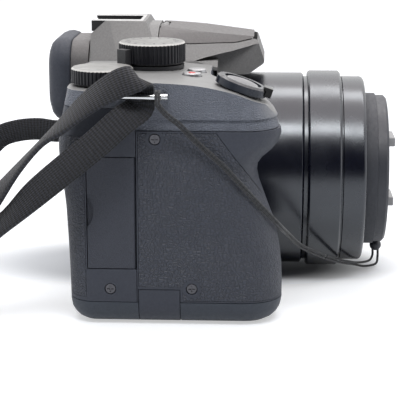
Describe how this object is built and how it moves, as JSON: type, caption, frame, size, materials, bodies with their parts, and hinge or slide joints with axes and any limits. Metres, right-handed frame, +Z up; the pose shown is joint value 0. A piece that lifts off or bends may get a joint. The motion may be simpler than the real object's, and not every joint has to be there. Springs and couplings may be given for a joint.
{
  "type": "bridge camera",
  "caption": "Bridge camera with a fixed zoom lens, viewfinder hump with pop-up flash, tilting monitor, top dials, neck strap and a tethered pinch cap.",
  "frame": {"origin": "axis of the tripod socket in the plane of the base", "axes": "+Z up, the lens looks along -Y, the grip is at -X"},
  "size_m": [0.156, 0.228, 0.0903],
  "materials": {
    "body_plastic": "fine matte",
    "deck_plastic": "fine matte",
    "grip_rubber": "leather grain",
    "soft_rubber": "matte",
    "barrel_plastic": "satin",
    "barrel_metal": "satin black",
    "dial_plastic": "satin",
    "silver_trim": "satin silver",
    "chrome": "polished",
    "steel": "brushed",
    "glass": "coated",
    "cap_plastic": "satin",
    "cap_pad": "ribbed",
    "screen": "gloss",
    "inner_plastic": "plain",
    "circuit_board": "solder mask",
    "cell": "label film",
    "webbing": "woven nylon",
    "cord": "braided"
  },
  "bodies": {
    "camera": {"front_shell": "body_plastic", "rear_shell": "body_plastic", "top_cover": "deck_plastic", "base_cover": "body_plastic", "grip_skin": "grip_rubber", "thumb_skin": "grip_rubber", "hump_housing": "deck_plastic", "eyepiece_frame": "body_plastic", "eyecup": "soft_rubber", "eyepiece_glass": "glass", "evf_module": "inner_plastic", "hot_shoe": "steel", "lens_barrel": "barrel_plastic", "barrel_ring": "barrel_metal", "front_ring": "barrel_metal", "lens_base": "inner_plastic", "guide_sleeve": "inner_plastic", "image_sensor": "circuit_board", "main_board": "circuit_board", "battery": "cell", "memory_card": "cell", "card_slot": "steel", "tripod_socket": "steel", "shell_screws": "steel", "strap_lugs": "chrome", "control_frame": "inner_plastic", "zoom_motor": "steel", "side_sockets": "steel", "neck_strap": "webbing", "strap_sliders": "dial_plastic", "tether_cord": "cord"},
    "mode_dial": {"mode_dial": "dial_plastic"},
    "power_lever": {"power_lever": "dial_plastic"},
    "rear_dial": {"rear_dial": "dial_plastic"},
    "shutter_button": {"shutter_button": "dial_plastic"},
    "zoom_lever": {"zoom_lever": "silver_trim"},
    "movie_button": {"movie_button": "silver_trim"},
    "function_button": {"function_button": "deck_plastic"},
    "flash_head": {"flash_head": "deck_plastic", "flash_window": "glass"},
    "lens_tube": {"lens_tube": "barrel_plastic", "front_element": "glass"},
    "zoom_group": {"zoom_group": "glass"},
    "lens_cap": {"lens_cap": "cap_plastic", "tether_loop": "cord"},
    "cap_tab_upper": {"cap_tab_upper": "cap_pad"},
    "cap_tab_lower": {"cap_tab_lower": "cap_pad"},
    "card_door": {"card_door": "body_plastic"},
    "dc_cover": {"dc_cover": "soft_rubber"},
    "monitor": {"monitor": "body_plastic", "monitor_screen": "screen"},
    "battery_door": {"battery_door": "body_plastic"},
    "battery_latch": {"battery_latch": "dial_plastic"},
    "port_door": {"port_door": "body_plastic"},
    "diopter_wheel": {"diopter_wheel": "dial_plastic"},
    "cursor_pad": {"cursor_pad": "dial_plastic"},
    "set_button": {"set_button": "dial_plastic"},
    "playback_button": {"playback_button": "dial_plastic"}
  },
  "joints": [
    {"name": "mode_dial_turn", "type": "hinge", "parent": "camera", "child": "mode_dial", "pos_m": [-0.038, 0.0055, 0.082], "axis": [0, 0, 1], "continuous": true},
    {"name": "power_lever_turn", "type": "hinge", "parent": "camera", "child": "power_lever", "pos_m": [-0.038, 0.0055, 0.079], "axis": [0, 0, 1], "range_deg": [0, 28]},
    {"name": "rear_dial_turn", "type": "hinge", "parent": "camera", "child": "rear_dial", "pos_m": [-0.06, 0.0197, 0.078], "axis": [0, 0, 1], "continuous": true},
    {"name": "shutter_press", "type": "slide", "parent": "camera", "child": "shutter_button", "axis": [0, 0.3256, -0.9455], "range_m": [0, 0.0012], "stiffness_N_per_m": 400},
    {"name": "zoom_lever_turn", "type": "hinge", "parent": "camera", "child": "zoom_lever", "pos_m": [-0.062, -0.024, 0.07423], "axis": [0, -0.3256, 0.9455], "range_deg": [-20, 20], "stiffness_Nm_per_rad": 0.02},
    {"name": "movie_press", "type": "slide", "parent": "camera", "child": "movie_button", "axis": [0, 0, -1], "range_m": [0, 0.0008], "stiffness_N_per_m": 400},
    {"name": "function_press", "type": "slide", "parent": "camera", "child": "function_button", "axis": [0, 0, -1], "range_m": [0, 0.0008], "stiffness_N_per_m": 400},
    {"name": "flash_lift", "type": "hinge", "parent": "camera", "child": "flash_head", "pos_m": [0, 0.0036, 0.087], "axis": [-1, 0, 0], "range_deg": [0, 55]},
    {"name": "lens_zoom", "type": "slide", "parent": "camera", "child": "lens_tube", "axis": [0, -1, 0], "range_m": [0, 0.036]},
    {"name": "zoom_group_move", "type": "slide", "parent": "camera", "child": "zoom_group", "axis": [0, -1, 0], "range_m": [0, 0.018]},
    {"name": "cap_pull", "type": "slide", "parent": "lens_tube", "child": "lens_cap", "axis": [0, -1, 0], "range_m": [0, 0.012]},
    {"name": "cap_pinch_upper", "type": "slide", "parent": "lens_cap", "child": "cap_tab_upper", "axis": [0, 0, -1], "range_m": [0, 0.002], "stiffness_N_per_m": 400},
    {"name": "cap_pinch_lower", "type": "slide", "parent": "lens_cap", "child": "cap_tab_lower", "axis": [0, 0, 1], "range_m": [0, 0.002], "stiffness_N_per_m": 400},
    {"name": "card_door_swing", "type": "hinge", "parent": "camera", "child": "card_door", "pos_m": [-0.073, 0.0093, 0.0363], "axis": [0, 0, 1], "range_deg": [0, 100]},
    {"name": "dc_cover_swing", "type": "hinge", "parent": "camera", "child": "dc_cover", "pos_m": [-0.06861, 0.001, 0.00175], "axis": [0, -1, 0], "range_deg": [0, 60]},
    {"name": "monitor_tilt", "type": "hinge", "parent": "camera", "child": "monitor", "pos_m": [0.0115, 0.0272, 0.008], "axis": [-1, 0, 0], "range_deg": [0, 45]},
    {"name": "battery_door_swing", "type": "hinge", "parent": "camera", "child": "battery_door", "pos_m": [-0.05415, -0.007, 0.001], "axis": [0, -1, 0], "range_deg": [0, 80]},
    {"name": "battery_latch_slide", "type": "slide", "parent": "battery_door", "child": "battery_latch", "axis": [1, 0, 0], "range_m": [0, 0.0026]},
    {"name": "port_door_swing", "type": "hinge", "parent": "camera", "child": "port_door", "pos_m": [0.056, 0.001, 0.04], "axis": [0, 0, -1], "range_deg": [0, 100]},
    {"name": "diopter_turn", "type": "hinge", "parent": "camera", "child": "diopter_wheel", "pos_m": [0.0198, 0.0324, 0.068], "axis": [1, 0, 0], "range_deg": [-90, 90]},
    {"name": "cursor_tilt", "type": "hinge", "parent": "camera", "child": "cursor_pad", "pos_m": [-0.044, 0.0294, 0.028], "axis": [1, 0, 0], "range_deg": [-4, 4], "stiffness_Nm_per_rad": 0.1},
    {"name": "set_press", "type": "slide", "parent": "camera", "child": "set_button", "axis": [0, -1, 0], "range_m": [0, 0.0006], "stiffness_N_per_m": 400},
    {"name": "playback_press", "type": "slide", "parent": "camera", "child": "playback_button", "axis": [0, -1, 0], "range_m": [0, 0.0006], "stiffness_N_per_m": 400}
  ],
  "couplings": [
    {"joint": "zoom_group_move", "follows": "lens_zoom", "ratio": 0.5}
  ]
}
